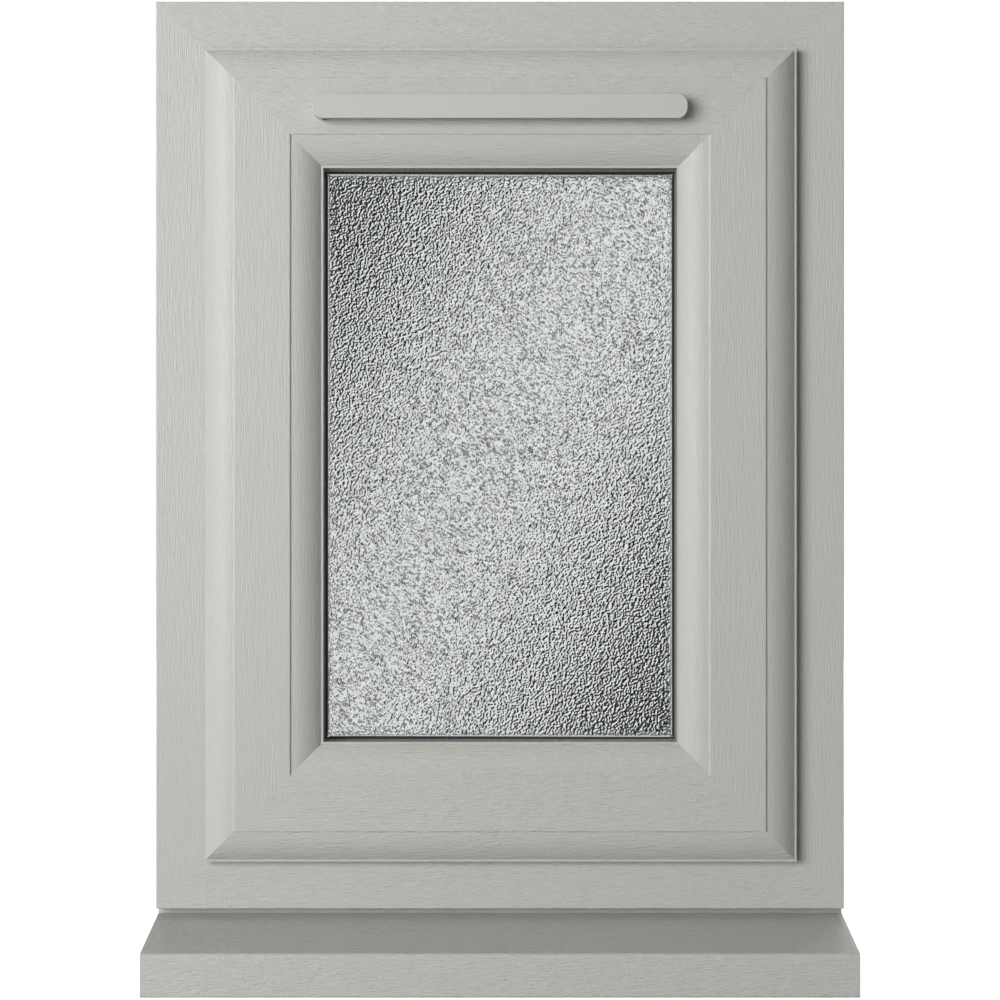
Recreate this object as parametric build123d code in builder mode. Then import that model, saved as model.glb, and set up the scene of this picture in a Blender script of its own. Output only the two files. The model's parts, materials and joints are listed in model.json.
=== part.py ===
from build123d import *

import math
import os

# Top-hung casement window of hollow extruded plastic profiles, standing on its
# projecting sill, closed. Lengths are millimetres. X runs to the right seen from
# outside, Y runs into the building and Z runs up. The origin is the middle of the
# window's width, in the plane of the outer frame's outside face, on the underside
# of the sill.
#
# A place in a profile is given by two values: the distance inwards from the outer
# edge of the outer frame, and y.

os.makedirs("parts", exist_ok=True)

# Outer frame
frame_width = 480.0
frame_height = 633.0
frame_depth = 70.0
frame_face = 42.0  # visible and covered width of the outside face
upstand_height = 20.0  # inner leg that the sash closes against
upstand_thickness = 14.0
frame_wall = 2.8
inner_wall = 1.4
moulded_wall = 5.6  # behind the sash's ovolos, where the face falls away
frame_edge_round = 0.7
clip_groove_front = 18.0
clip_groove_width = 16.0
clip_groove_depth = 2.0
fixing_hole = 6.0
fixing_from_corner = 150.0
fixing_hole_y = 45.0

# Sash
sash_overlap = 8.0  # how far the sash flange covers the frame face
hardware_gap = 12.0  # between the frame's rebate wall and the sash body
flange_gap = 3.5  # between the sash flange and the frame face
flange_edge = 4.5  # thickness of the flange at its outer edge
sash_projection = 18.0  # sash face in front of the frame face
closing_gap = 3.0  # between the sash and the frame's upstand
sash_body = 43.2  # hardware gap to glazing rebate
glazing_leg = 20.0
glazing_leg_back = 13.5
lip_width = 1.5
ovolo_width = 20.5
quirk_step = 0.8
hardware_groove_width = 16.0
hardware_groove_depth = 3.0
hardware_groove_front = 22.0
bead_groove_width = 3.6
bead_groove_depth = 3.0

# Sealed glass unit and its gaskets
pane_thickness = 4.0
cavity = 16.0
glass_gap = 5.0  # glass edge to rebate floor
outer_gasket = 2.5
inner_gasket = 2.0
gasket_lip = 1.2  # how far the outer gasket shows past the sash
gasket_cover = 12.2
edge_seal_width = 4.0
spacer_width = 6.5
spacer_wall = 0.8
packer_length = 100.0
packer_from_corner = 60.0

# Weather seals
seal_width = 4.5
seal_root_width = 2.2
seal_root_depth = 1.6

# Glazing bead
bead_nose = 3.0  # height of the bead's edge beside the glass
bead_flat = 6.0
bead_foot_height = 2.6
bead_clearance = 0.3

# Trickle vent
canopy_length = 257.6
canopy_height = 16.8
canopy_corner = 7.0
canopy_projection = 12.0
canopy_wall = 1.8
canopy_edge = 0.5
canopy_rib_rise = 4.0  # the middle rib ends this far above the open underside
canopy_from_frame_top = 77.4
vent_slot_length = 90.0
vent_slot_height = 8.0
vent_slot_bridge = 34.0  # between the two slots
vent_body_length = 272.0
vent_body_height = 20.0
vent_body_depth = 13.0
vent_body_wall = 2.0
vent_body_corner = 2.0
vent_body_chamfer = 1.0
vent_slider_thickness = 1.6
vent_slider_clearance = 0.3
vent_tab_length = 10.0
vent_tab_height = 4.6
vent_tab_projection = 4.0
vent_tab_travel = 8.0
vent_tab_round = 0.9

# Handle
handle_base_length = 146.0
handle_base_height = 25.0
handle_base_depth = 12.0
handle_pivot_x = 44.0
handle_neck = 22.0
handle_standoff = 26.0
handle_grip_thickness = 12.0
handle_grip_height = 18.0
handle_grip_length = 118.0
handle_round = 3.0
handle_base_chamfer = 2.0
key_barrel_diameter = 11.0
key_barrel_height = 2.0
key_slot_length = 6.5
key_slot_width = 1.4
key_slot_depth = 1.2

# Lock in the sash's bottom rail and its keeps on the frame
faceplate_length = 300.0
faceplate_clearance = 0.1
cam_pitch = 180.0
cam_diameter = 8.0
cam_reach = 6.5
keep_length = 40.0
keep_plate = 2.5
keep_lug = 3.0
keep_clearance = 0.3

# Friction stays in the side gaps
stay_y = 30.0
stay_width = 18.0
stay_track_length = 305.0
stay_track_thickness = 2.5
stay_arm_width = 16.0
stay_arm_thickness = 3.0
stay_long_arm_length = 250.0
stay_short_arm_length = 120.0
stay_plate_length = 200.0
stay_from_head = 6.0

# Sill
sill_projection = 80.0
sill_nose_height = 29.2
sill_slope = 7.6  # degrees
sill_shelf_step = 4.9
frame_overhang = 13.0  # frame face in front of the sill's shelf
sill_wall = 2.5
sill_web = 1.25
sill_edge_round = 3.0
sill_underside_round = 1.5
sill_chambers = 4
sill_end_cap = 3.0
drip_groove_from_nose = 12.0
drip_groove_width = 4.0
drip_groove_depth = 3.5

# Worked-out places
slope_run = sill_projection + frame_overhang
slope_top = sill_nose_height + slope_run * math.tan(math.radians(sill_slope))
frame_base = slope_top + sill_shelf_step
frame_top = frame_base + frame_height
frame_middle = frame_base + frame_height / 2

upstand_edge = frame_face + upstand_height
upstand_front = frame_depth - upstand_thickness
sash_edge = frame_face - sash_overlap
sash_side = frame_face + hardware_gap
sash_front = -sash_projection
flange_back = -flange_gap
flange_front = flange_back - flange_edge
sash_back = upstand_front - closing_gap
rebate_floor = sash_side + sash_body
sightline = rebate_floor + glazing_leg
quirk_y = sash_front + quirk_step
outer_quirk = sash_edge + lip_width + ovolo_width
inner_quirk = sightline - lip_width - ovolo_width

outer_pane_front = glazing_leg_back + outer_gasket
cavity_front = outer_pane_front + pane_thickness
cavity_back = cavity_front + cavity
unit_back = cavity_back + pane_thickness
bead_front = unit_back + inner_gasket
glass_edge = rebate_floor + glass_gap
spacer_edge = glass_edge + edge_seal_width

bead_foot_back = sash_back - bead_nose
bead_groove_front = bead_foot_back - bead_groove_width + bead_clearance / 2
rail_middle = (upstand_edge + rebate_floor) / 2
canopy_z = frame_top - canopy_from_frame_top
handle_z = frame_base + rail_middle
groove_middle_y = hardware_groove_front + hardware_groove_width / 2
vent_slot_pitch = vent_slot_length + vent_slot_bridge

# Sides of the window: middle of the outer edge, direction inwards, length
SIDES = {
    "top": (Vector(0, 0, frame_top), Vector(0, 0, -1), frame_width),
    "bottom": (Vector(0, 0, frame_base), Vector(0, 0, 1), frame_width),
    "left": (Vector(-frame_width / 2, 0, frame_middle), Vector(1, 0, 0), frame_height),
    "right": (Vector(frame_width / 2, 0, frame_middle), Vector(-1, 0, 0), frame_height),
}


def save(part, name):
    part.label = name
    export_step(part, f"parts/{name}.step")


def outside_plane(y):
    """Plane seen from outside: local x to the right, local y up, extrudes outwards."""
    return Plane(origin=(0, y, 0), x_dir=(1, 0, 0), z_dir=(0, -1, 0))


def inside_plane(y):
    """Plane seen from the room: local x to the viewer's right, extrudes into the room."""
    return Plane(origin=(0, y, 0), x_dir=(-1, 0, 0), z_dir=(0, 1, 0))


def section_plane(side):
    """Plane across a member: local x runs inwards from the outer edge, local y is y."""
    middle, inwards, _ = SIDES[side]
    return Plane(origin=middle, x_dir=inwards, z_dir=inwards.cross(Vector(0, 1, 0)))


def mitre_planes(side):
    """The two 45-degree planes at a member's ends, facing away from the member."""
    middle, inwards, length = SIDES[side]
    along = inwards.cross(Vector(0, 1, 0))
    return [
        Plane(origin=middle + along * (end * length / 2), z_dir=along * end + inwards)
        for end in (1, -1)
    ]


def mitred(section, side):
    """Straight member of the given section, cut at 45 degrees at both ends."""
    with BuildPart() as member:
        extrude(section, amount=SIDES[side][2] / 2, both=True)
        for plane in mitre_planes(side):
            split(bisect_by=plane, keep=Keep.BOTTOM)
    return member.part


def hollow(left, right, front, back):
    """Takes a rectangular chamber or groove out of the section being drawn."""
    with Locations(((left + right) / 2, (front + back) / 2)):
        Rectangle(right - left, back - front, mode=Mode.SUBTRACT)


def fill(left, right, front, back):
    """Adds a rectangle to the section being drawn."""
    with Locations(((left + right) / 2, (front + back) / 2)):
        Rectangle(right - left, back - front)


def frame_section(side):
    """Outer frame: an L with an outer, a middle and an inner row of chambers."""
    with BuildSketch(section_plane(side)) as section:
        with BuildLine():
            Polyline(
                (0, 0),
                (frame_face, 0),
                (frame_face, upstand_front),
                (upstand_edge, upstand_front),
                (upstand_edge, frame_depth),
                (0, frame_depth),
                close=True,
            )
        make_face()
        fillet(section.vertices().group_by(Axis((0, 0, 0), (0, 1, 0)))[0], frame_edge_round)
        hollow(0, clip_groove_depth, clip_groove_front, clip_groove_front + clip_groove_width)
        chamber_edge = frame_face - frame_wall
        middle_start = clip_groove_depth + frame_wall
        first_web = clip_groove_front - frame_wall
        hollow(frame_wall, chamber_edge, frame_wall, first_web - inner_wall)
        hollow(middle_start, chamber_edge, first_web, upstand_front - inner_wall)
        hollow(frame_wall, chamber_edge, upstand_front, frame_depth - frame_wall)
        hollow(
            chamber_edge + inner_wall,
            upstand_edge - frame_wall,
            upstand_front + seal_root_depth + frame_wall,
            frame_depth - frame_wall,
        )
        seal_middle = upstand_edge - seal_width
        hollow(
            seal_middle - seal_root_width / 2,
            seal_middle + seal_root_width / 2,
            upstand_front,
            upstand_front + seal_root_depth,
        )
    return section.sketch


def sash_section(side):
    """Sash: a sculptured front with an ovolo on both edges, flange, chambers and grooves."""
    with BuildSketch(section_plane(side)) as section:
        with BuildLine():
            Polyline(
                (outer_quirk, quirk_y),
                (outer_quirk, sash_front),
                (inner_quirk, sash_front),
                (inner_quirk, quirk_y),
            )
            TangentArc(
                (inner_quirk, quirk_y),
                (sightline - lip_width, flange_front),
                tangent=(1, 0),
            )
            Polyline(
                (sightline - lip_width, flange_front),
                (sightline, flange_front),
                (sightline, glazing_leg_back),
                (rebate_floor, glazing_leg_back),
                (rebate_floor, sash_back),
                (sash_side, sash_back),
                (sash_side, flange_back),
                (sash_edge, flange_back),
                (sash_edge, flange_front),
                (sash_edge + lip_width, flange_front),
            )
            TangentArc(
                (outer_quirk, quirk_y),
                (sash_edge + lip_width, flange_front),
                tangent=(-1, 0),
            )
        make_face()
        # Hardware groove on the side towards the frame
        hollow(
            sash_side,
            sash_side + hardware_groove_depth,
            hardware_groove_front,
            hardware_groove_front + hardware_groove_width,
        )
        # Groove for the foot of the glazing bead
        hollow(
            rebate_floor - bead_groove_depth,
            rebate_floor,
            bead_groove_front,
            bead_groove_front + bead_groove_width,
        )
        # Groove for the root of the flange seal
        seal_middle = sash_edge + seal_width
        hollow(
            seal_middle - seal_root_width / 2,
            seal_middle + seal_root_width / 2,
            flange_back - seal_root_depth,
            flange_back,
        )
        # Front chambers behind the moulded face
        front_web = flange_front
        hollow(
            outer_quirk - ovolo_width / 2,
            outer_quirk - inner_wall,
            sash_front + moulded_wall,
            front_web,
        )
        hollow(outer_quirk, inner_quirk, sash_front + frame_wall, front_web)
        hollow(
            inner_quirk + inner_wall,
            inner_quirk + ovolo_width / 2,
            sash_front + moulded_wall,
            front_web,
        )
        # Middle chambers in the body
        body_start = sash_side + hardware_groove_depth + frame_wall
        body_end = rebate_floor - bead_groove_depth - frame_wall
        hollow(
            sash_side + frame_wall,
            sightline - frame_wall,
            front_web + inner_wall,
            glazing_leg_back - frame_wall,
        )
        hollow(body_start, body_end, glazing_leg_back - inner_wall, bead_groove_front - frame_wall)
        hollow(body_start, body_end, bead_groove_front - inner_wall, sash_back - frame_wall)
    return section.sketch


def bead_section(side):
    """Glazing bead: ovolo face towards the room, foot in the sash's groove."""
    with BuildSketch(section_plane(side)) as section:
        with BuildLine():
            Polyline(
                (sightline, bead_front + bead_nose),
                (sightline, bead_front),
                (rebate_floor, bead_front),
                (rebate_floor, sash_back),
                (rebate_floor + bead_flat, sash_back),
            )
            TangentArc(
                (rebate_floor + bead_flat, sash_back),
                (sightline, bead_front + bead_nose),
                tangent=(1, 0),
            )
        make_face()
        fill(
            rebate_floor - bead_groove_depth + bead_clearance,
            rebate_floor,
            bead_foot_back - bead_foot_height,
            bead_foot_back,
        )
        hollow(
            rebate_floor + inner_wall,
            rebate_floor + bead_flat + inner_wall,
            bead_front + inner_wall,
            sash_back - inner_wall,
        )
    return section.sketch


def ring(outer_edge, inner_edge, back):
    """Flat ring round the window between two distances from the frame's outer edge."""
    with BuildSketch(outside_plane(back)) as outline:
        with Locations((0, frame_middle)):
            Rectangle(frame_width - 2 * outer_edge, frame_height - 2 * outer_edge)
            Rectangle(
                frame_width - 2 * inner_edge,
                frame_height - 2 * inner_edge,
                mode=Mode.SUBTRACT,
            )
    return outline.sketch


# Outer frame: four mitred members, with fixing holes through the jambs
for side, name in (
    ("top", "frame_head"),
    ("bottom", "frame_bottom_rail"),
    ("left", "frame_jamb_left"),
    ("right", "frame_jamb_right"),
):
    with BuildPart() as frame_member:
        add(mitred(frame_section(side), side))
        if side in ("left", "right"):
            hole_plane = Plane(origin=SIDES[side][0], x_dir=(0, 1, 0), z_dir=SIDES[side][1])
            hole_reach = frame_height / 2 - fixing_from_corner
            with BuildSketch(hole_plane):
                with Locations((fixing_hole_y, -hole_reach), (fixing_hole_y, hole_reach)):
                    Circle(fixing_hole / 2)
            extrude(amount=frame_face, mode=Mode.SUBTRACT)
    save(frame_member.part, name)

# Sash: four mitred members, with the vent's slots routed through the top rail
for side, name in (
    ("top", "sash_top_rail"),
    ("bottom", "sash_bottom_rail"),
    ("left", "sash_stile_left"),
    ("right", "sash_stile_right"),
):
    with BuildPart() as sash_member:
        add(mitred(sash_section(side), side))
        if side == "top":
            with BuildSketch(outside_plane(sash_back)):
                with Locations((-vent_slot_pitch / 2, canopy_z), (vent_slot_pitch / 2, canopy_z)):
                    SlotOverall(vent_slot_length, vent_slot_height)
            extrude(amount=sash_back - sash_front, mode=Mode.SUBTRACT)
    save(sash_member.part, name)

# Glazing beads on the room side
for side in SIDES:
    save(mitred(bead_section(side), side), f"bead_{side}")

# Sealed glass unit
glass_width = frame_width - 2 * glass_edge
glass_height = frame_height - 2 * glass_edge
for name, back in (("glass_outer_pane", cavity_front), ("glass_inner_pane", unit_back)):
    with BuildPart() as pane:
        with BuildSketch(outside_plane(back)):
            with Locations((0, frame_middle)):
                Rectangle(glass_width, glass_height)
        extrude(amount=pane_thickness)
    save(pane.part, name)

with BuildPart() as glass_edge_seal:
    extrude(ring(glass_edge, spacer_edge, cavity_back), amount=cavity)
save(glass_edge_seal.part, "glass_edge_seal")

with BuildPart() as glass_spacer:
    extrude(ring(spacer_edge, spacer_edge + spacer_width, cavity_back), amount=cavity)
    extrude(
        ring(
            spacer_edge + spacer_wall,
            spacer_edge + spacer_width - spacer_wall,
            cavity_back - spacer_wall,
        ),
        amount=cavity - 2 * spacer_wall,
        mode=Mode.SUBTRACT,
    )
save(glass_spacer.part, "glass_spacer")

# Blocks that carry the glass in the bottom rebate
for name, hand in (("glass_packer_left", -1), ("glass_packer_right", 1)):
    packer_x = hand * (frame_width / 2 - rebate_floor - packer_from_corner)
    with BuildPart() as packer:
        with BuildSketch(Plane.XY.offset(frame_base + rebate_floor)):
            with Locations((packer_x, (outer_pane_front + unit_back) / 2)):
                Rectangle(packer_length, unit_back - outer_pane_front)
        extrude(amount=glass_gap)
    save(packer.part, name)

# Gaskets on both faces of the glass unit
with BuildPart() as glazing_gasket_outer:
    extrude(
        ring(sightline - gasket_cover, sightline + gasket_lip, outer_pane_front),
        amount=outer_gasket,
    )
save(glazing_gasket_outer.part, "glazing_gasket_outer")

with BuildPart() as glazing_gasket_inner:
    extrude(
        ring(sightline - gasket_cover, sightline + gasket_lip, bead_front),
        amount=inner_gasket,
    )
save(glazing_gasket_inner.part, "glazing_gasket_inner")

# Weather seals: one in the sash flange, one in the frame's upstand
with BuildPart() as sash_seal:
    seal_middle = sash_edge + seal_width
    extrude(
        ring(seal_middle - seal_width / 2, seal_middle + seal_width / 2, 0),
        amount=flange_gap,
    )
    extrude(
        ring(seal_middle - seal_root_width / 2, seal_middle + seal_root_width / 2, flange_back),
        amount=seal_root_depth,
    )
save(sash_seal.part, "sash_seal")

with BuildPart() as frame_seal:
    seal_middle = upstand_edge - seal_width
    extrude(
        ring(seal_middle - seal_width / 2, seal_middle + seal_width / 2, upstand_front),
        amount=closing_gap,
    )
    extrude(
        ring(
            seal_middle - seal_root_width / 2,
            seal_middle + seal_root_width / 2,
            upstand_front + seal_root_depth,
        ),
        amount=seal_root_depth,
    )
save(frame_seal.part, "frame_seal")

# Trickle vent: hood on the outside, open underneath, in two cells
with BuildPart() as vent_canopy:
    with BuildSketch(outside_plane(sash_front)):
        with Locations((0, canopy_z)):
            RectangleRounded(canopy_length, canopy_height, canopy_corner)
    extrude(amount=canopy_projection)
    fillet(vent_canopy.faces().sort_by(Axis.Y)[0].edges(), canopy_edge)
    mouth_length = canopy_length - 2 * canopy_corner
    cell_length = (mouth_length - canopy_wall) / 2
    cell_step = (cell_length + canopy_wall) / 2
    with BuildSketch(outside_plane(sash_front)):
        with Locations((-cell_step, canopy_z - canopy_wall), (cell_step, canopy_z - canopy_wall)):
            Rectangle(cell_length, canopy_height)
        with Locations((0, canopy_z - canopy_height / 2)):
            Rectangle(mouth_length, 2 * canopy_rib_rise)
    extrude(amount=canopy_projection - canopy_wall, mode=Mode.SUBTRACT)
save(vent_canopy.part, "vent_canopy")

# Trickle vent: body on the room side with two slots and a slot for the tab
vent_body_front = sash_back + vent_body_depth
vent_plate_back = vent_body_front - vent_body_wall
vent_pocket_length = vent_body_length - 2 * vent_body_wall
vent_pocket_height = vent_body_height - 2 * vent_body_wall
with BuildPart() as vent_inner_body:
    with BuildSketch(inside_plane(sash_back)):
        with Locations((0, canopy_z)):
            RectangleRounded(vent_body_length, vent_body_height, vent_body_corner)
    extrude(amount=vent_body_depth)
    chamfer(vent_inner_body.faces().sort_by(Axis.Y)[-1].edges(), vent_body_chamfer)
    with BuildSketch(inside_plane(sash_back)):
        with Locations((0, canopy_z)):
            Rectangle(vent_pocket_length, vent_pocket_height)
    extrude(amount=vent_body_depth - vent_body_wall, mode=Mode.SUBTRACT)
    with BuildSketch(inside_plane(vent_plate_back)):
        with Locations((-vent_slot_pitch / 2, canopy_z), (vent_slot_pitch / 2, canopy_z)):
            SlotOverall(vent_slot_length, vent_slot_height)
        with Locations((0, canopy_z)):
            Rectangle(vent_tab_length + 2 * vent_tab_travel, vent_tab_height + 2 * vent_slider_clearance)
    extrude(amount=vent_body_wall, mode=Mode.SUBTRACT)
save(vent_inner_body.part, "vent_inner_body")

with BuildPart() as vent_slider:
    with BuildSketch(inside_plane(vent_plate_back - vent_slider_thickness)):
        with Locations((0, canopy_z)):
            Rectangle(
                vent_slot_pitch + vent_slot_length + vent_tab_travel,
                vent_pocket_height - 2 * vent_slider_clearance,
            )
        with Locations((-vent_slot_pitch / 2, canopy_z), (vent_slot_pitch / 2, canopy_z)):
            SlotOverall(vent_slot_length, vent_slot_height, mode=Mode.SUBTRACT)
    extrude(amount=vent_slider_thickness)
    with BuildSketch(inside_plane(vent_plate_back)):
        with Locations((0, canopy_z)):
            Rectangle(vent_tab_length, vent_tab_height)
    extrude(amount=vent_body_wall + vent_tab_projection)
    fillet(vent_slider.faces().sort_by(Axis.Y)[-1].edges(), vent_tab_round)
save(vent_slider.part, "vent_slider")

# Handle on the room side of the bottom rail
handle_base_front = sash_back + handle_base_depth
with BuildPart() as handle_base:
    with BuildSketch(inside_plane(sash_back)):
        with Locations((0, handle_z)):
            SlotOverall(handle_base_length, handle_base_height)
    extrude(amount=handle_base_depth)
    chamfer(handle_base.faces().sort_by(Axis.Y)[-1].edges(), handle_base_chamfer)
save(handle_base.part, "handle_base")

grip_back = handle_base_front + handle_standoff
grip_front = grip_back + handle_grip_thickness
with BuildPart() as handle_lever:
    with BuildSketch(Plane.XY.offset(handle_z)):
        with BuildLine():
            neck_inner = handle_pivot_x - handle_neck / 2
            neck_outer = handle_pivot_x + handle_neck / 2
            grip_end = neck_outer - handle_grip_length
            Polyline((neck_inner, handle_base_front), (neck_outer, handle_base_front))
            Line((neck_outer, handle_base_front), (neck_outer, grip_back))
            RadiusArc(
                (neck_outer, grip_back),
                (neck_outer - handle_grip_thickness, grip_front),
                -handle_grip_thickness,
            )
            Line((neck_outer - handle_grip_thickness, grip_front), (grip_end, grip_front))
            Line((grip_end, grip_front), (grip_end, grip_back + handle_round))
            Line((grip_end, grip_back + handle_round), (neck_inner, grip_back))
            Line((neck_inner, grip_back), (neck_inner, handle_base_front))
        make_face()
    extrude(amount=handle_grip_height / 2, both=True)
    free_edges = handle_lever.edges().filter_by_position(
        Axis.Y, handle_base_front + handle_round, grip_front, inclusive=(False, True)
    )
    fillet(free_edges, handle_round)
save(handle_lever.part, "handle_lever")

with BuildPart() as handle_key_barrel:
    with BuildSketch(inside_plane(grip_front)):
        with Locations((-handle_pivot_x + handle_neck / 2, handle_z)):
            Circle(key_barrel_diameter / 2)
    extrude(amount=key_barrel_height)
    with BuildSketch(inside_plane(grip_front + key_barrel_height - key_slot_depth)):
        with Locations((-handle_pivot_x + handle_neck / 2, handle_z)):
            Rectangle(key_slot_width, key_slot_length)
    extrude(amount=key_slot_depth, mode=Mode.SUBTRACT)
save(handle_key_barrel.part, "handle_key_barrel")

# Lock faceplate in the bottom rail's hardware groove, with its two cams
faceplate_level = frame_base + sash_side + hardware_groove_depth
faceplate_thickness = hardware_groove_depth - faceplate_clearance
with BuildPart() as lock_faceplate:
    with BuildSketch(Plane.XY.offset(faceplate_level - faceplate_thickness)):
        with Locations((0, groove_middle_y)):
            SlotOverall(faceplate_length, hardware_groove_width - 2 * faceplate_clearance)
    extrude(amount=faceplate_thickness)
    with BuildSketch(Plane.XY.offset(faceplate_level - faceplate_thickness - cam_reach)):
        with Locations((-cam_pitch / 2, groove_middle_y), (cam_pitch / 2, groove_middle_y)):
            Circle(cam_diameter / 2)
    extrude(amount=cam_reach)
save(lock_faceplate.part, "lock_faceplate")

for name, hand in (("lock_keep_left", -1), ("lock_keep_right", 1)):
    keep_level = frame_base + frame_face
    lug_back = groove_middle_y - cam_diameter / 2 - keep_clearance
    with BuildPart() as keep:
        with BuildSketch(Plane.XY.offset(keep_level)):
            with Locations((hand * cam_pitch / 2, groove_middle_y)):
                Rectangle(keep_length, hardware_groove_width + 2 * keep_lug)
        extrude(amount=keep_plate)
        with BuildSketch(Plane.XY.offset(keep_level + keep_plate)):
            with Locations((hand * cam_pitch / 2, lug_back - keep_lug / 2)):
                Rectangle(keep_length, keep_lug)
        extrude(amount=hardware_gap - 2 * keep_plate)
    save(keep.part, name)

# Friction stays, one in each side gap: track, two arms and the plate on the sash
stay_top = frame_top - frame_face - stay_from_head
plate_thickness = hardware_gap - stay_track_thickness - 2 * stay_arm_thickness
for hand, hand_name in ((1, "left"), (-1, "right")):
    jamb_wall = -hand * (frame_width / 2 - frame_face)
    level = jamb_wall
    for piece, length, width, thickness in (
        ("track", stay_track_length, stay_width, stay_track_thickness),
        ("long_arm", stay_long_arm_length, stay_arm_width, stay_arm_thickness),
        ("short_arm", stay_short_arm_length, stay_arm_width, stay_arm_thickness),
        ("sash_plate", stay_plate_length, stay_width, plate_thickness),
    ):
        with BuildPart() as stay_piece:
            with BuildSketch(Plane(origin=(level, stay_y, 0), x_dir=(0, 0, 1), z_dir=(hand, 0, 0))):
                with Locations((stay_top - length / 2, 0)):
                    SlotOverall(length, width)
            extrude(amount=thickness)
        save(stay_piece.part, f"stay_{piece}_{hand_name}")
        level += hand * thickness

# Sill: sloped hollow section with a drip groove behind its nose, and end caps
sill_length = frame_width - 2 * sill_end_cap
nose_y = -sill_projection
shelf_y = frame_overhang


def slope_height(y):
    return slope_top - (shelf_y - y) * math.tan(math.radians(sill_slope))


def sill_section(chambered):
    """Section of the sill: local x is y and local y is height."""
    groove_front = nose_y + drip_groove_from_nose
    groove_back = groove_front + drip_groove_width
    first_chamber = groove_back + sill_wall
    chamber_step = (shelf_y + sill_web - first_chamber) / (sill_chambers - 1)
    with BuildSketch(Plane.YZ) as section:
        with BuildLine():
            Polyline(
                (nose_y, 0),
                (frame_depth, 0),
                (frame_depth, frame_base),
                (shelf_y, frame_base),
                (shelf_y, slope_top),
                (nose_y, sill_nose_height),
                close=True,
            )
        make_face()
        nose_corners = section.vertices().group_by(Axis.X)[0].sort_by(Axis.Y)
        fillet(nose_corners[-1], sill_edge_round)
        fillet(section.vertices().group_by(Axis.X)[0].sort_by(Axis.Y)[0], sill_underside_round)
        if chambered:
            hollow(groove_front, groove_back, 0, drip_groove_depth)
            hollow(
                shelf_y + sill_wall,
                frame_depth - sill_wall,
                sill_wall,
                frame_base - sill_wall,
            )
            chambers = [(nose_y + sill_wall, groove_back, drip_groove_depth + sill_wall)]
            for index in range(sill_chambers - 1):
                front = first_chamber + index * chamber_step
                chambers.append((front, front + chamber_step - sill_web, sill_wall))
            for front, back, floor in chambers:
                with BuildLine():
                    Polyline(
                        (front, floor),
                        (back, floor),
                        (back, slope_height(back) - sill_wall),
                        (front, slope_height(front) - sill_wall),
                        close=True,
                    )
                make_face(mode=Mode.SUBTRACT)
    return section.sketch


with BuildPart() as sill:
    extrude(sill_section(True), amount=sill_length / 2, both=True)
save(sill.part, "sill")

for name, hand in (("sill_end_cap_left", -1), ("sill_end_cap_right", 1)):
    with BuildPart() as end_cap:
        with Locations((hand * (sill_length + sill_end_cap) / 2, 0, 0)):
            add(extrude(sill_section(False), amount=sill_end_cap / 2, both=True, mode=Mode.PRIVATE))
    save(end_cap.part, name)
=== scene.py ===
import json
import math

import bpy
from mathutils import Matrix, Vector


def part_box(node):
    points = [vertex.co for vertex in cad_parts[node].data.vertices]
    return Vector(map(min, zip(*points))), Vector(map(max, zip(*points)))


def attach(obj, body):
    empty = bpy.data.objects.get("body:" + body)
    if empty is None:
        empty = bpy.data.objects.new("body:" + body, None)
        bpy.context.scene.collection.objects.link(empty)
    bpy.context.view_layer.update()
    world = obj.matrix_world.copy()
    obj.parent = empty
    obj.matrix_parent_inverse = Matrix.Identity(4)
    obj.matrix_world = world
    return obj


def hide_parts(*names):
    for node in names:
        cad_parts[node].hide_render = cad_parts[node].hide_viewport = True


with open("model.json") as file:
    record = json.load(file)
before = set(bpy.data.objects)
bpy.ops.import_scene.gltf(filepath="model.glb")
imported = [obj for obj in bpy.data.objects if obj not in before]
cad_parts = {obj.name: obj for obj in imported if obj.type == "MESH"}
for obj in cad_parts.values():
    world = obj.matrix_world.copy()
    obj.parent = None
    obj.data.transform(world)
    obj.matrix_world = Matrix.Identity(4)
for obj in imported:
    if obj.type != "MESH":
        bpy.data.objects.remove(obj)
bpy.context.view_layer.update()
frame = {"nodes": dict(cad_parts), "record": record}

# Lengths are metres. X runs to the right seen from outside, Y into the building.
MILLIMETRE = 0.001
QUARTER = math.pi / 2
HAIR = MILLIMETRE / 100

# Finishes, as linear colours
FOIL_COLOUR = (0.492, 0.500, 0.466)
# The level members' foil is the same finish painted lighter, to make up for the shade their deeper embossing
# gives
LEVEL_FOIL_PAINTED_LIGHTER = (0.512, 0.520, 0.484)
FOIL_PORE_COLOUR = (0.452, 0.460, 0.428)
VENT_COLOUR = (0.498, 0.505, 0.474)
RUBBER_COLOUR = (0.018, 0.018, 0.019)
SEALANT_COLOUR = (0.03, 0.03, 0.031)
GLASS_COLOUR = (0.83, 0.85, 0.85)
CLEAR_GLASS_COLOUR = (0.93, 0.97, 0.95)
SPACER_COLOUR = (0.62, 0.62, 0.61)
PACKER_COLOUR = (0.08, 0.2, 0.5)
STEEL_COLOUR = (0.56, 0.56, 0.55)
CHROME_COLOUR = (0.78, 0.78, 0.79)

# Outline of the sash, edges of the opening in it, and corners of the outer pane
SASH_HALF_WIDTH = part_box("sash_stile_right")[1][0]
SASH_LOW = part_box("sash_bottom_rail")[0][2]
SASH_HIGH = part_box("sash_top_rail")[1][2]
OPENING_HALF_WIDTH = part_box("sash_stile_right")[0][0]
OPENING_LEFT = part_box("sash_stile_left")[1][0]
OPENING_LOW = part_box("sash_bottom_rail")[1][2]
OPENING_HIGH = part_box("sash_top_rail")[0][2]
PANE_LOW, PANE_HIGH = (Vector(corner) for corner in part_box("glass_outer_pane"))
PANE_MIDDLE = (PANE_LOW.y + PANE_HIGH.y) / 2


# Node building

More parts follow.
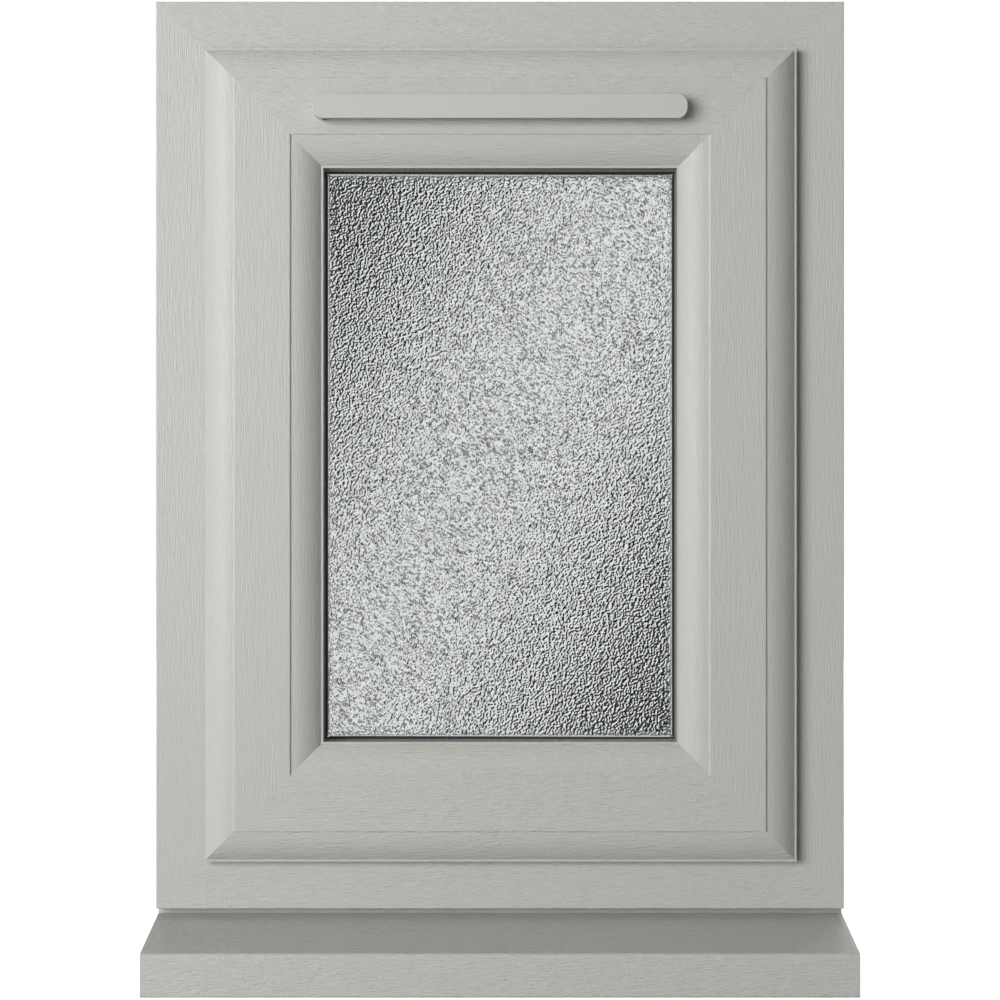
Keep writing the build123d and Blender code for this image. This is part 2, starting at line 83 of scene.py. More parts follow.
def new_group(name, kind, inputs, outputs):
    """Node group with the given sockets; returns the tree and its two end nodes."""
    tree = bpy.data.node_groups.new(name, kind)
    for socket_name, socket_type, value in inputs:
        socket = tree.interface.new_socket(socket_name, in_out="INPUT", socket_type=socket_type)
        if value is not None:
            socket.default_value = value
    for socket_name, socket_type in outputs:
        tree.interface.new_socket(socket_name, in_out="OUTPUT", socket_type=socket_type)
    return tree, tree.nodes.new("NodeGroupInput"), tree.nodes.new("NodeGroupOutput")


def empty_tree(owner):
    """Cleared node tree of a material or a world."""
    owner.use_nodes = True
    owner.node_tree.nodes.clear()
    return owner.node_tree


def find_input(node, key):
    """Enabled input of that name or number; a Mix node has one of each name per data type."""
    if isinstance(key, int):
        return node.inputs[key]
    return next(socket for socket in node.inputs if socket.name == key and socket.enabled)


def find_output(node, name):
    return next(socket for socket in node.outputs if socket.name == name and socket.enabled)


def feed(tree, target, source):
    """Links a socket to an input, or sets a plain value on it."""
    if isinstance(source, bpy.types.NodeSocket):
        tree.links.new(source, target)
    else:
        target.default_value = source


def add_node(tree, kind, inputs=None, **settings):
    """Node with its properties set and its inputs fed by sockets or plain values."""
    node = tree.nodes.new(kind)
    for key, value in settings.items():
        setattr(node, key, value)
    for key, source in (inputs or {}).items():
        feed(tree, find_input(node, key), source)
    return node


def math_node(tree, operation, first, second=0.0):
    """Maths node; each operand is a socket or a plain number."""
    return add_node(tree, "ShaderNodeMath", {0: first, 1: second}, operation=operation).outputs[0]


def vector_node(tree, operation, inputs):
    return add_node(tree, "ShaderNodeVectorMath", inputs, operation=operation).outputs[0]


def noise_node(tree, vector, scale, detail):
    return add_node(tree, "ShaderNodeTexNoise", {"Vector": vector, "Scale": scale, "Detail": detail})


def group_node(tree, group, vector, **values):
    """Group placed in a tree, with its vector linked and any other inputs set."""
    return add_node(tree, "ShaderNodeGroup", {"Vector": vector, **values}, node_tree=group)


def mix_colours(tree, factor, first, second):
    """Mix of two colours, each a socket or a plain colour."""
    ends = [end if isinstance(end, bpy.types.NodeSocket) else (*end, 1.0) for end in (first, second)]
    node = add_node(tree, "ShaderNodeMix", {"Factor": factor, "A": ends[0], "B": ends[1]}, data_type="RGBA")
    return find_output(node, "Result")


def spread(tree, value, low, high):
    """Value from 0 to 1 spread between two plain numbers."""
    return add_node(tree, "ShaderNodeMapRange", {"Value": value, "To Min": low, "To Max": high}).outputs[0]


def fade(tree, value, start, stop, interpolation="LINEAR"):
    """1 up to the start, falling to 0 at the stop."""
    return add_node(tree, "ShaderNodeMapRange", {
        "Value": value, "From Min": start, "From Max": stop, "To Min": 1.0, "To Max": 0.0,
    }, interpolation_type=interpolation).outputs[0]


def bump(tree, shader, height, distance):
    node = add_node(tree, "ShaderNodeBump", {"Height": height, "Distance": distance})
    tree.links.new(node.outputs["Normal"], shader.inputs["Normal"])


# Woodgrain: scales a metre, and the sway that bends the fibres
GRAIN_ACROSS = 1250.0
GRAIN_WAVINESS = 1.6 * MILLIMETRE
SWAY_SCALE = 26.0
CRACKLE_SCALE = 620.0
BANDS_PER_FIBRE = 0.28

# Each layer's share of the height; a fibre value below FULL_PORE is all pore, above NO_PORE none
FIBRE_SHARE = 0.6
BAND_SHARE = 0.05
CRACKLE_SHARE = 0.22
FULL_PORE = 0.36
NO_PORE = 0.5

# Cells a metre along the grain, and the depth of the embossing
UPRIGHT_GRAIN_ALONG = 76.0
UPRIGHT_GRAIN_DEPTH = 0.56 * MILLIMETRE
LEVEL_GRAIN_ALONG = 110.0
LEVEL_GRAIN_DEPTH = 1.45 * MILLIMETRE


def make_grain_group():
    """Embossed woodgrain whose grain runs along the incoming vector's Z."""
    tree, start, end = new_group(
        "embossed_grain",
        "ShaderNodeTree",
        [
            ("Vector", "NodeSocketVector", None),
            ("Across", "NodeSocketFloat", GRAIN_ACROSS),
            ("Along", "NodeSocketFloat", UPRIGHT_GRAIN_ALONG),
            ("Waviness", "NodeSocketFloat", GRAIN_WAVINESS),
        ],
        [("Height", "NodeSocketFloat"), ("Pores", "NodeSocketFloat")],
    )
    given = start.outputs
    sway = noise_node(tree, given["Vector"], SWAY_SCALE, detail=2.0)
    centred = vector_node(tree, "SUBTRACT", {0: sway.outputs["Color"], 1: (0.5, 0.5, 0.5)})
    swing = vector_node(tree, "SCALE", {0: centred, "Scale": given["Waviness"]})
    bent = vector_node(tree, "ADD", {0: given["Vector"], 1: swing})
    stretch = add_node(tree, "ShaderNodeCombineXYZ", {
        "X": given["Across"], "Y": given["Across"], "Z": given["Along"]})
    drawn = vector_node(tree, "MULTIPLY", {0: bent, 1: stretch.outputs[0]})
    fibres = noise_node(tree, drawn, scale=1.0, detail=2.0).outputs["Fac"]
    bands = noise_node(tree, drawn, BANDS_PER_FIBRE, detail=1.0).outputs["Fac"]
    crackle = noise_node(tree, bent, CRACKLE_SCALE, detail=1.0).outputs["Fac"]
    height = math_node(tree, "MULTIPLY", fibres, FIBRE_SHARE)
    height = math_node(tree, "ADD", height, math_node(tree, "MULTIPLY", bands, BAND_SHARE))
    height = math_node(tree, "ADD", height, math_node(tree, "MULTIPLY", crackle, CRACKLE_SHARE))
    tree.links.new(height, end.inputs["Height"])
    tree.links.new(fade(tree, fibres, FULL_PORE, NO_PORE), end.inputs["Pores"])
    return tree


def make_variation_group():
    """Slow change over a surface and a fine mottle, both 0 to 1."""
    tree, start, end = new_group(
        "surface_variation",
        "ShaderNodeTree",
        [
            ("Vector", "NodeSocketVector", None),
            ("Slow Scale", "NodeSocketFloat", 9.0),
            ("Fine Scale", "NodeSocketFloat", 900.0),
        ],
        [("Slow", "NodeSocketFloat"), ("Fine", "NodeSocketFloat")],
    )
    slow = noise_node(tree, start.outputs["Vector"], start.outputs["Slow Scale"], detail=3.0)
    fine = noise_node(tree, start.outputs["Vector"], start.outputs["Fine Scale"], detail=2.0)
    tree.links.new(slow.outputs["Fac"], end.inputs["Slow"])
    tree.links.new(fine.outputs["Fac"], end.inputs["Fine"])
    return tree


# Rebate walls round the pane, which get painted shade and a painted green reflection: the box that marks them
# reaches a little past the opening
REVEAL_GAP = 0.3 * MILLIMETRE
REVEAL_HALF_WIDTH = OPENING_HALF_WIDTH + REVEAL_GAP
REVEAL_LOW = OPENING_LOW - REVEAL_GAP
REVEAL_HIGH = OPENING_HIGH + REVEAL_GAP
REVEAL_LIP = -7.0 * MILLIMETRE
REVEAL_PANE = 16.0 * MILLIMETRE


def make_reveal_group():
    """Mask of the rebate walls round the pane, where shade and a green reflection are painted, and the depth
    in them, 0 at the lip and 1 at the pane.
    """
    tree, start, end = new_group(
        "painted_rebate_shade",
        "ShaderNodeTree",
        [
            ("Vector", "NodeSocketVector", None),
            ("Half Width", "NodeSocketFloat", REVEAL_HALF_WIDTH),
            ("Low", "NodeSocketFloat", REVEAL_LOW),
            ("High", "NodeSocketFloat", REVEAL_HIGH),
            ("Lip Depth", "NodeSocketFloat", REVEAL_LIP),
            ("Pane Depth", "NodeSocketFloat", REVEAL_PANE),
        ],
        [("Cast", "NodeSocketFloat"), ("Depth", "NodeSocketFloat")],
    )
    given = start.outputs
    split = add_node(tree, "ShaderNodeSeparateXYZ", {"Vector": given["Vector"]}).outputs
    aside = math_node(tree, "ABSOLUTE", split["X"])
    between = math_node(tree, "LESS_THAN", aside, given["Half Width"])
    above = math_node(tree, "GREATER_THAN", split["Z"], given["Low"])
    below = math_node(tree, "LESS_THAN", split["Z"], given["High"])
    inside = math_node(tree, "MULTIPLY", between, math_node(tree, "MULTIPLY", above, below))
    behind = math_node(tree, "GREATER_THAN", split["Y"], given["Lip Depth"])
    before = math_node(tree, "LESS_THAN", split["Y"], given["Pane Depth"])
    painted_shade_mask = math_node(tree, "MULTIPLY", inside, math_node(tree, "MULTIPLY", behind, before))
    depth = add_node(tree, "ShaderNodeMapRange", {
        "Value": split["Y"], "From Min": given["Lip Depth"], "From Max": given["Pane Depth"]})
    tree.links.new(painted_shade_mask, end.inputs["Cast"])
    tree.links.new(depth.outputs[0], end.inputs["Depth"])
    return tree


# The CAD's step from the sash's flat to an ovolo lies 22 mm in from the member's edge.
# Its easing runs from 0.8 mm before the step, on the flat, to 0.5 mm beyond it.
QUIRK_INSET = 22.5 * MILLIMETRE
QUIRK_BEFORE = 0.3 * MILLIMETRE
QUIRK_BEYOND = 1.0 * MILLIMETRE
QUIRK_DEPTH = 0.48 * MILLIMETRE

# It fades from the sash's face into the building, so that the rebates and backs have none
QUIRK_FRONT = -14.0 * MILLIMETRE
QUIRK_BACK = 20.0 * MILLIMETRE


def outside_of(tree, aside, rise, half_width, half_height):
    """Distance outside an upright rectangle round the middle; negative inside it."""
    return math_node(tree, "MAXIMUM", math_node(tree, "SUBTRACT", aside, half_width),
                     math_node(tree, "SUBTRACT", rise, half_height))


def make_quirk_group():
    """Eased step between the sash's flat face and its two ovolos, 1 on the flat and 0 beyond."""
    tree, start, end = new_group(
        "eased_quirk",
        "ShaderNodeTree",
        [
            ("Vector", "NodeSocketVector", None),
            ("Middle", "NodeSocketFloat", (SASH_LOW + SASH_HIGH) / 2),
            ("Outer Half Width", "NodeSocketFloat", SASH_HALF_WIDTH - QUIRK_INSET),
            ("Outer Half Height", "NodeSocketFloat", (SASH_HIGH - SASH_LOW) / 2 - QUIRK_INSET),
            ("Inner Half Width", "NodeSocketFloat", OPENING_HALF_WIDTH + QUIRK_INSET),
            ("Inner Half Height", "NodeSocketFloat", (OPENING_HIGH - OPENING_LOW) / 2 + QUIRK_INSET),
            ("Before Edge", "NodeSocketFloat", QUIRK_BEFORE),
            ("Beyond Edge", "NodeSocketFloat", QUIRK_BEYOND),
        ],
        [("Height", "NodeSocketFloat")],
    )
    given = start.outputs
    split = add_node(tree, "ShaderNodeSeparateXYZ", {"Vector": given["Vector"]}).outputs
    aside = math_node(tree, "ABSOLUTE", split["X"])
    rise = math_node(tree, "ABSOLUTE", math_node(tree, "SUBTRACT", split["Z"], given["Middle"]))
    past_outer = outside_of(tree, aside, rise, given["Outer Half Width"], given["Outer Half Height"])
    past_inner = outside_of(tree, aside, rise, given["Inner Half Width"], given["Inner Half Height"])
    past_edge = math_node(tree, "MAXIMUM", past_outer, math_node(tree, "MULTIPLY", past_inner, -1.0))
    before_edge = math_node(tree, "MULTIPLY", given["Before Edge"], -1.0)
    flat = fade(tree, past_edge, before_edge, given["Beyond Edge"], "SMOOTHSTEP")
    near_front = fade(tree, split["Y"], QUIRK_FRONT, QUIRK_BACK)
    tree.links.new(math_node(tree, "MULTIPLY", flat, near_front), end.inputs["Height"])
    return tree


GRAIN = make_grain_group()
QUIRK = make_quirk_group()
REVEAL = make_reveal_group()
VARIATION = make_variation_group()


# Materials

def start_material(name):
    """Empty material with its Principled shader, output and object coordinates."""
    made = bpy.data.materials.new(name)
    tree = empty_tree(made)
    shader = tree.nodes.new("ShaderNodeBsdfPrincipled")
    add_node(tree, "ShaderNodeOutputMaterial", {"Surface": shader.outputs[0]})
    place = tree.nodes.new("ShaderNodeTexCoord").outputs["Object"]
    return made, tree, shader, place


# Painted shade and a painted green reflection of the glass's edge on the rebate walls, in place of the foil's
# own colour: darkest at the lip, lighter and greener at the pane
PAINTED_SHADE_AT_LIP = (0.16, 0.2, 0.175)
PAINTED_REFLECTION_AT_PANE = (0.52, 0.60, 0.54)
PORE_SHARE = 0.15
FOIL_ROUGHNESS = (0.17, 0.25)


def make_foil(name, turn, colour, along, depth):
    """Woodgrain foil; turn brings the member's length to the grain's Z."""
    made, tree, shader, place = start_material(name)
    turned = add_node(tree, "ShaderNodeMapping", {"Vector": place, "Rotation": turn})
    grain = group_node(tree, GRAIN, turned.outputs[0], Along=along)
    change = group_node(tree, VARIATION, place)
    pore_share = math_node(tree, "MULTIPLY", grain.outputs["Pores"], PORE_SHARE)
    foil_colour = mix_colours(tree, pore_share, colour, FOIL_PORE_COLOUR)
    # The rebate walls get painted shade and a painted green reflection of the glass's edge instead of the
    # foil's colour
    reveal = group_node(tree, REVEAL, place)
    painted_shade_colour = mix_colours(tree, reveal.outputs["Depth"], PAINTED_SHADE_AT_LIP, PAINTED_REFLECTION_AT_PANE)
    shown_colour = mix_colours(tree, reveal.outputs["Cast"], foil_colour, painted_shade_colour)
    feed(tree, shader.inputs["Base Color"], shown_colour)
    feed(tree, shader.inputs["Roughness"], spread(tree, change.outputs["Slow"], *FOIL_ROUGHNESS))
    quirk = group_node(tree, QUIRK, place)
    eased = math_node(tree, "MULTIPLY", quirk.outputs["Height"], QUIRK_DEPTH / depth)
    bump(tree, shader, math_node(tree, "ADD", grain.outputs["Height"], eased), depth)
    return made


# Mottle of the plain finishes
DARKEST_TINT = 0.94
GLOSS_CHANGE = 0.15
MOTTLE_DEPTH = 0.01 * MILLIMETRE


def make_plain(name, colour, roughness, metallic=0.0):
    """Moulded, rubber or metal finish with a fine mottle in colour, gloss and surface."""
    made, tree, shader, place = start_material(name)
    change = group_node(tree, VARIATION, place)
    darker = tuple(channel * DARKEST_TINT for channel in colour)
    glossiest, mattest = roughness * (1 - GLOSS_CHANGE), roughness * (1 + GLOSS_CHANGE)
    feed(tree, shader.inputs["Base Color"], mix_colours(tree, change.outputs["Slow"], darker, colour))
    feed(tree, shader.inputs["Roughness"], spread(tree, change.outputs["Fine"], glossiest, mattest))
    feed(tree, shader.inputs["Metallic"], metallic)
    bump(tree, shader, change.outputs["Fine"], MOTTLE_DEPTH)
    return made


# Stipple of the obscure glass: the fine pattern, and the softer swell under it
STIPPLE_SCALE = 640.0
STIPPLE_DEPTH = 0.24 * MILLIMETRE
STIPPLE_TURN = (0.7, 0.5, 0.9)
SWELL_SCALE = 300.0
SWELL_DEPTH = 0.035 * MILLIMETRE
RIM_ROUGHNESS = 0.2
STIPPLE_ROUGHNESS = 0.04
SILVERING = 0.96
GLASS_IOR = 1.5


def make_patterned_glass():
    """Rolled obscure glass: a silvery stipple, left plain along the edge of the visible pane."""
    made, tree, shader, place = start_material("patterned_glass")
    turned = add_node(tree, "ShaderNodeMapping", {"Vector": place, "Rotation": STIPPLE_TURN})
    stipple = noise_node(tree, turned.outputs[0], STIPPLE_SCALE, detail=0.0)
    pressed = add_node(tree, "ShaderNodeAttribute", attribute_name="relief").outputs["Fac"]
    bump(tree, shader, math_node(tree, "MULTIPLY", stipple.outputs["Fac"], pressed), STIPPLE_DEPTH)
    feed(tree, shader.inputs["Roughness"], spread(tree, pressed, RIM_ROUGHNESS, STIPPLE_ROUGHNESS))
    feed(tree, shader.inputs["Base Color"], (*GLASS_COLOUR, 1.0))
    feed(tree, shader.inputs["Metallic"], SILVERING)
    feed(tree, shader.inputs["Transmission Weight"], 1.0)
    feed(tree, shader.inputs["IOR"], GLASS_IOR)
    return made


CLEAR_ROUGHNESS = 0.03


def make_clear_glass():
    made, tree, shader, place = start_material("clear_glass")
    change = group_node(tree, VARIATION, place)
    feed(tree, shader.inputs["Base Color"], (*CLEAR_GLASS_COLOUR, 1.0))
    feed(tree, shader.inputs["Roughness"], spread(tree, change.outputs["Slow"], 0.0, CLEAR_ROUGHNESS))
    feed(tree, shader.inputs["Transmission Weight"], 1.0)
    feed(tree, shader.inputs["IOR"], GLASS_IOR)
    return made


UPRIGHT = (0.0, 0.0, 0.0)
LEVEL = (0.0, QUARTER, 0.0)
FINISHES = {
    "foil_upright": make_foil("foil_upright", UPRIGHT, FOIL_COLOUR, UPRIGHT_GRAIN_ALONG, UPRIGHT_GRAIN_DEPTH),
    "foil_level": make_foil("foil_level", LEVEL, LEVEL_FOIL_PAINTED_LIGHTER, LEVEL_GRAIN_ALONG, LEVEL_GRAIN_DEPTH),
    "sill_cap_plastic": make_plain("sill_cap_plastic", FOIL_COLOUR, roughness=0.4),
    "vent_plastic": make_plain("vent_plastic", VENT_COLOUR, roughness=0.36),
    "patterned_glass": make_patterned_glass(),
    "clear_glass": make_clear_glass(),
    "spacer_metal": make_plain("spacer_metal", SPACER_COLOUR, roughness=0.3, metallic=1.0),
    "edge_sealant": make_plain("edge_sealant", SEALANT_COLOUR, roughness=0.6),
    "gasket_rubber": make_plain("gasket_rubber", RUBBER_COLOUR, roughness=0.45),
    "seal_rubber": make_plain("seal_rubber", SEALANT_COLOUR, roughness=0.55),
    "packer_plastic": make_plain("packer_plastic", PACKER_COLOUR, roughness=0.4),
    "handle_finish": make_plain("handle_finish", VENT_COLOUR, roughness=0.38),
    "key_metal": make_plain("key_metal", CHROME_COLOUR, roughness=0.15, metallic=1.0),
    "hardware_steel": make_plain("hardware_steel", STEEL_COLOUR, roughness=0.32, metallic=1.0),
}

SLOT_OF_NODE = {row["node"]: row["material_slot"] for row in frame["record"]["subparts"]}
for node_name, slot_name in SLOT_OF_NODE.items():
    for material_slot in frame["nodes"][node_name].material_slots:
        material_slot.material = FINISHES[slot_name]


# Patterned pane: a slab whose outside face is a fine grid with the rolled relief

# Along the opening the face is plain, then slopes down to the pattern, which is sunk
RIM_START = 1.2 * MILLIMETRE
RIM_END = 1.85 * MILLIMETRE
RIM_DEPTH = 0.35 * MILLIMETRE
CELL = 1.06 * MILLIMETRE
LARGEST_GRID_FACE = 4.0 * MILLIMETRE ** 2


def grid_lines(low, high):
    """Lines from one edge of the opening to the other: the rim's two edges, with even cells between."""
    inner_low, inner_high = low + RIM_END, high - RIM_END
    steps = round((inner_high - inner_low) / CELL)
    even = [inner_low + (inner_high - inner_low) * step / steps for step in range(steps + 1)]
    return [low, low + RIM_START, *even, high - RIM_START, high]


def make_outside_face():
    """Points, faces and relief strengths of the grid, row by row from the bottom, and a row's length."""
    left, right = OPENING_LEFT, -OPENING_LEFT
    across = grid_lines(left, right)
    upward = grid_lines(OPENING_LOW, OPENING_HIGH)
    points = []
    strengths = []
    for height in upward:
        for place in across:
            inset = min(place - left, right - place, height - OPENING_LOW, OPENING_HIGH - height)
            sunk = RIM_DEPTH if inset > RIM_END - HAIR else 0.0
            points.append((place, PANE_LOW.y + sunk, height))
            strengths.append(1.0 if inset > RIM_END + HAIR else 0.0)
    width = len(across)
    starts = [row * width + column for row in range(len(upward) - 1) for column in range(width - 1)]
    faces = [(first, first + 1, first + width + 1, first + width) for first in starts]
    return points, faces, strengths, width


def make_patterned_pane():
    """Slab of the pane's own size, with the grid in its front; its back is patterned by bump alone."""
    points, faces, strengths, width = make_outside_face()
    front = len(points)
    back = front + 4
    for y in (PANE_LOW.y, PANE_HIGH.y):
        points += [
            (PANE_LOW.x, y, PANE_LOW.z),
            (PANE_HIGH.x, y, PANE_LOW.z),
            (PANE_HIGH.x, y, PANE_HIGH.z),
            (PANE_LOW.x, y, PANE_HIGH.z),
        ]
    strengths += [0.0] * 4 + [1.0] * 4
    faces += [
        (front, front + 1, *reversed(range(width))),
        (front + 1, front + 2, *reversed(range(width - 1, front, width))),
        (front + 2, front + 3, *range(front - width, front)),
        (front + 3, front, *range(0, front, width)),
        (back + 3, back + 2, back + 1, back),
    ]
    for index in range(4):
        following = (index + 1) % 4
        faces.append((front + following, front + index, back + index, back + following))
    mesh = bpy.data.meshes.new("glass_patterned_pane")
    mesh.from_pydata(points, [], faces)
    mesh.attributes.new("relief", "FLOAT", "POINT").data.foreach_set("value", strengths)
    piece = bpy.data.objects.new("glass_patterned_pane", mesh)
    bpy.context.scene.collection.objects.link(piece)
    return piece


def make_relief_tree():
    """Geometry Nodes tree that presses the swell of the stipple into the points before Front."""
    tree, start, end = new_group(
        "rolled_stipple",
        "GeometryNodeTree",
        [
            ("Geometry", "NodeSocketGeometry", None),
            ("Scale", "NodeSocketFloat", SWELL_SCALE),
            ("Depth", "NodeSocketFloat", SWELL_DEPTH),
            ("Front", "NodeSocketFloat", PANE_MIDDLE),
            ("Material", "NodeSocketMaterial", None),
        ],
        [("Geometry", "NodeSocketGeometry")],
    )
    given = start.outputs
    place = tree.nodes.new("GeometryNodeInputPosition").outputs[0]
    turned = add_node(tree, "ShaderNodeVectorRotate", {"Vector": place, "Rotation": STIPPLE_TURN},
                      rotation_type="EULER_XYZ")
    swell = noise_node(tree, turned.outputs[0], given["Scale"], detail=0.0)
    relief = add_node(tree, "GeometryNodeInputNamedAttribute", {"Name": "relief"})
    depth = math_node(tree, "MULTIPLY", swell.outputs["Fac"], given["Depth"])
    pressed = math_node(tree, "MULTIPLY", depth, relief.outputs["Attribute"])
    offset = add_node(tree, "ShaderNodeCombineXYZ", {"Y": pressed})
    split = add_node(tree, "ShaderNodeSeparateXYZ", {"Vector": place})
    outside = math_node(tree, "LESS_THAN", split.outputs["Y"], given["Front"])
    moved = add_node(tree, "GeometryNodeSetPosition", {
        "Geometry": given["Geometry"], "Selection": outside, "Offset": offset.outputs[0]})
    whole = add_node(tree, "GeometryNodeRealizeInstances", {"Geometry": moved.outputs[0]})
    dressed = add_node(tree, "GeometryNodeSetMaterial", {
        "Geometry": whole.outputs[0], "Material": given["Material"]})
    tree.links.new(dressed.outputs[0], end.inputs["Geometry"])
    return tree


def apply_tree(piece, tree, values):
    """Runs a Geometry Nodes tree on a piece and keeps the result as its plain mesh."""
    modifier = piece.modifiers.new("shape", "NODES")
    modifier.node_group = tree
    for item in tree.interface.items_tree:
        if item.in_out == "INPUT" and item.name in values:
            modifier[item.identifier] = values[item.name]
    bpy.context.view_layer.update()
    evaluated = piece.evaluated_get(bpy.context.evaluated_depsgraph_get())
    plain = bpy.data.meshes.new_from_object(evaluated)
    piece.modifiers.remove(modifier)
    piece.data = plain
    return piece


pane = apply_tree(make_patterned_pane(), make_relief_tree(), {
    "Scale": SWELL_SCALE,
    "Depth": SWELL_DEPTH,
    "Front": PANE_MIDDLE,
    "Material": FINISHES["patterned_glass"],
})
pane.data.polygons.foreach_set("use_smooth", [
    len(face.vertices) == 4 and face.area < LARGEST_GRID_FACE for face in pane.data.polygons])
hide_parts("glass_outer_pane")
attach(pane, "root")


# Camera

CAMERA_DISTANCE = 1.758
CAMERA_HEIGHT = 0.3317
LENS = 90.7
SENSOR_WIDTH = 36.0

camera_data = bpy.data.cameras.new("camera")
camera_data.lens = LENS
camera_data.sensor_width = SENSOR_WIDTH
camera = bpy.data.objects.new("camera", camera_data)
camera.location = (0.0, -CAMERA_DISTANCE, CAMERA_HEIGHT)
camera.rotation_euler = (QUARTER, 0.0, 0.0)
bpy.context.scene.collection.objects.link(camera)
bpy.context.scene.camera = camera


# Lamps

LAMP_DISTANCE = 3.0
LAMP_BASE = 0.02
ROOM_TARGET = Vector((0.0, 0.0, 0.35))


def add_soft_lamp(name, width, height, power, place):
    """Area lamp that faces down until it is turned."""
    lamp = bpy.data.lights.new(name, "AREA")
    lamp.shape = "RECTANGLE"
    lamp.size = width
    lamp.size_y = height
    lamp.energy = power
    light = bpy.data.objects.new(name, lamp)
    light.location = place
    bpy.context.scene.collection.objects.link(light)
    return light


def add_softbox(name, turn, width, height, power):
    """Upright softbox to the left of the camera; the pane takes no light from it."""
    place = (-LAMP_DISTANCE * math.sin(turn), -LAMP_DISTANCE * math.cos(turn), LAMP_BASE + height / 2)
    box = add_soft_lamp(name, width, height, power, place)
    box.rotation_euler = (QUARTER, 0.0, -turn)
    unlit = bpy.data.collections.new(f"unlit_by_{name}")
    unlit.objects.link(pane)
    box.light_linking.receiver_collection = unlit
    unlit.collection_objects[0].light_linking.link_state = "EXCLUDE"
    return box


# Broad soft light on the inside face
room = add_soft_lamp("room", width=2.4, height=2.4, power=105.0, place=(0.9, 3.0, 1.5))
room.rotation_euler = (ROOM_TARGET - room.location).to_track_quat("-Z", "Y").to_euler()
room.visible_glossy = False

# The key lights matt surfaces only, and the sheen shows in glossy ones only
key = add_softbox("key", turn=math.radians(36.0), width=2.1, height=1.6, power=97.5)
key.visible_glossy = False
sheen = add_softbox("sheen", turn=math.radians(28.0), width=2.93, height=2.65, power=52.0)
sheen.visible_diffuse = False

# Soft light from straight above, for the faces that look up
top = add_soft_lamp("top", width=1.8, height=0.8, power=4.0, place=(-0.2, -0.4, 2.3))
top.visible_glossy = False


# World: white to the camera and through glass, dim as a fill, between the two in reflections

WORLD_FILL = 0.105
WORLD_GLOSS = 0.55


def make_world():
    world = bpy.data.worlds.new("studio")
    bpy.context.scene.world = world
    tree = empty_tree(world)
    path = tree.nodes.new("ShaderNodeLightPath").outputs
    seen = math_node(tree, "MAXIMUM", path["Is Camera Ray"], path["Is Transmission Ray"])
    strength = math_node(tree, "MAXIMUM", spread(tree, seen, WORLD_FILL, 1.0),
                         math_node(tree, "MULTIPLY", path["Is Glossy Ray"], WORLD_GLOSS))
    background = add_node(tree, "ShaderNodeBackground", {"Color": (1.0, 1.0, 1.0, 1.0), "Strength": strength})
    add_node(tree, "ShaderNodeOutputWorld", {"Surface": background.outputs[0]})


make_world()


# Floor and mirror panel

def make_plane(name, corners):
    mesh = bpy.data.meshes.new(name)
    mesh.from_pydata(corners, [], [(0, 1, 2, 3)])
    thing = bpy.data.objects.new(name, mesh)
    bpy.context.scene.collection.objects.link(thing)
    return thing


# The floor is pure white away from the part, and a little less near it, so that it keeps the shadow
FLOOR_REACH = 8.0
FLOOR_PAINT = (0.45, 0.45, 0.45, 1.0)
FLOOR_GLOW = 0.93
GLOW_RISES_FROM = 0.7
GLOW_RISES_TO = 2.6


def make_floor():
    low, high = -FLOOR_REACH, FLOOR_REACH
    floor = make_plane("floor", [(low, low, 0.0), (high, low, 0.0), (high, high, 0.0), (low, high, 0.0)])
    made = bpy.data.materials.new("floor")
    tree = empty_tree(made)
    path = tree.nodes.new("ShaderNodeLightPath").outputs
    seen = math_node(tree, "MAXIMUM", path["Is Camera Ray"], path["Is Glossy Ray"])
    seen = math_node(tree, "MAXIMUM", seen, path["Is Transmission Ray"])
    place = tree.nodes.new("ShaderNodeTexCoord").outputs["Object"]
    away = add_node(tree, "ShaderNodeVectorMath", {0: place}, operation="LENGTH")
    white = add_node(tree, "ShaderNodeMapRange", {
        "Value": find_output(away, "Value"), "From Min": GLOW_RISES_FROM, "From Max": GLOW_RISES_TO,
        "To Min": FLOOR_GLOW, "To Max": 1.0}, interpolation_type="SMOOTHSTEP")
    glow = add_node(tree, "ShaderNodeEmission", {
        "Strength": math_node(tree, "MULTIPLY", seen, white.outputs[0])})
    paint = add_node(tree, "ShaderNodeBsdfDiffuse", {"Color": FLOOR_PAINT})
    both = add_node(tree, "ShaderNodeAddShader", {0: paint.outputs[0], 1: glow.outputs[0]})
    add_node(tree, "ShaderNodeOutputMaterial", {"Surface": both.outputs[0]})
    floor.data.materials.append(made)
    floor.visible_glossy = False


make_floor()


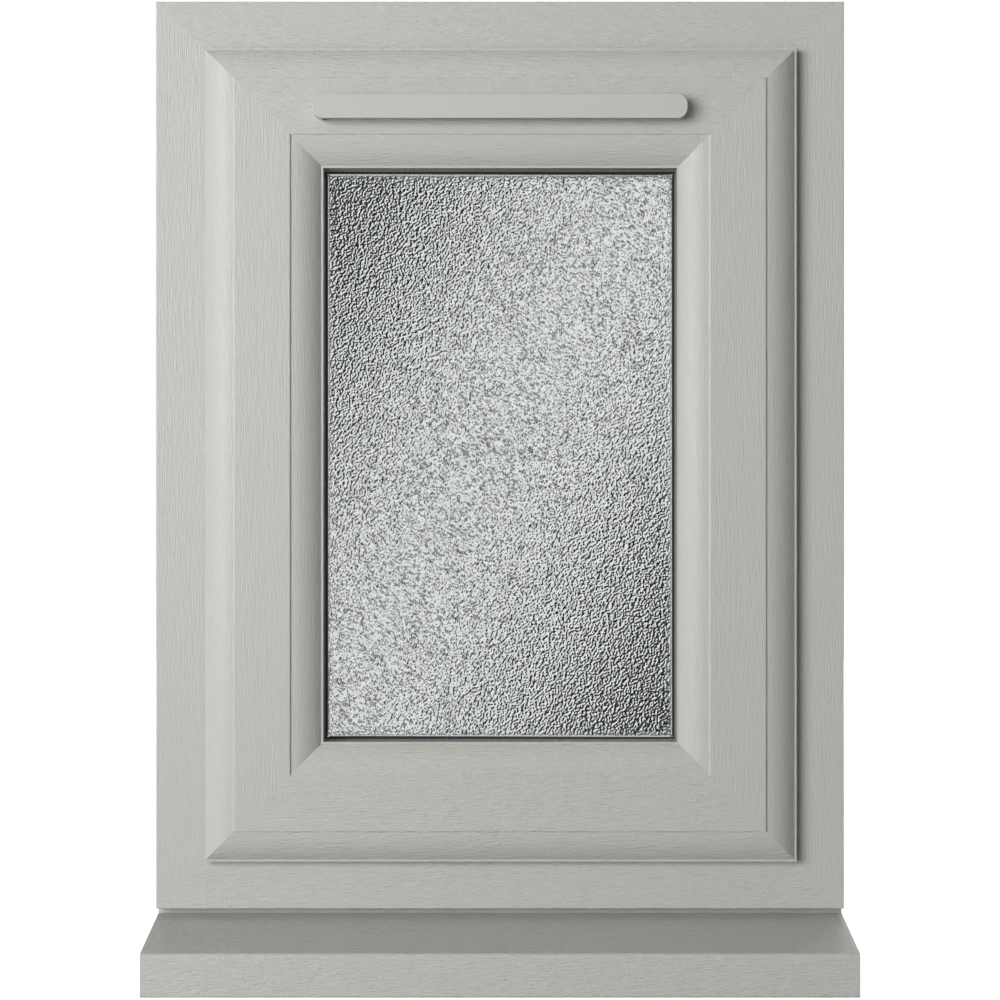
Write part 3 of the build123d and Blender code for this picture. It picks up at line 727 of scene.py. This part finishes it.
# The band of light slants about as the pane's diagonal does, from bottom left to top right
PANEL_REACH = 2.3
PANEL_DISTANCE = 2.6
PANEL_GLOW = 0.025
BAND_LEAN = math.radians(59.7)
BAND_HALF_WIDTH = 0.32
BAND_SHIFT = 0.055
BAND_GLOW = 0.91


def make_mirror_panel():
    """Studio wall behind the camera, seen only in reflections, with a slanting soft light on it."""
    left, right = -PANEL_REACH, PANEL_REACH
    low, high = CAMERA_HEIGHT - PANEL_REACH, CAMERA_HEIGHT + PANEL_REACH
    wall = make_plane("mirror_panel", [
        (left, -PANEL_DISTANCE, low), (left, -PANEL_DISTANCE, high),
        (right, -PANEL_DISTANCE, high), (right, -PANEL_DISTANCE, low)])
    made = bpy.data.materials.new("mirror_panel")
    tree = empty_tree(made)
    place = tree.nodes.new("ShaderNodeTexCoord").outputs["Object"]
    split = add_node(tree, "ShaderNodeSeparateXYZ", {"Vector": place}).outputs
    rise = math_node(tree, "SUBTRACT", split["Z"], CAMERA_HEIGHT)
    sideways = math_node(tree, "MULTIPLY", split["X"], -math.sin(BAND_LEAN))
    upward = math_node(tree, "MULTIPLY", rise, math.cos(BAND_LEAN))
    off_middle = math_node(tree, "SUBTRACT", math_node(tree, "ADD", sideways, upward), BAND_SHIFT)
    scaled = math_node(tree, "DIVIDE", off_middle, BAND_HALF_WIDTH)
    squared = math_node(tree, "MULTIPLY", scaled, scaled)
    fourth = math_node(tree, "MULTIPLY", squared, squared)
    bell = math_node(tree, "POWER", math.e, math_node(tree, "MULTIPLY", fourth, -1.0))
    strength = math_node(tree, "ADD", math_node(tree, "MULTIPLY", bell, BAND_GLOW), PANEL_GLOW)
    glow = add_node(tree, "ShaderNodeEmission", {"Strength": strength})
    add_node(tree, "ShaderNodeOutputMaterial", {"Surface": glow.outputs[0]})
    wall.data.materials.append(made)
    wall.visible_camera = False
    wall.visible_diffuse = False
    wall.visible_transmission = False
    wall.visible_shadow = False


make_mirror_panel()

view = bpy.context.scene.view_settings
view.view_transform = "Standard"
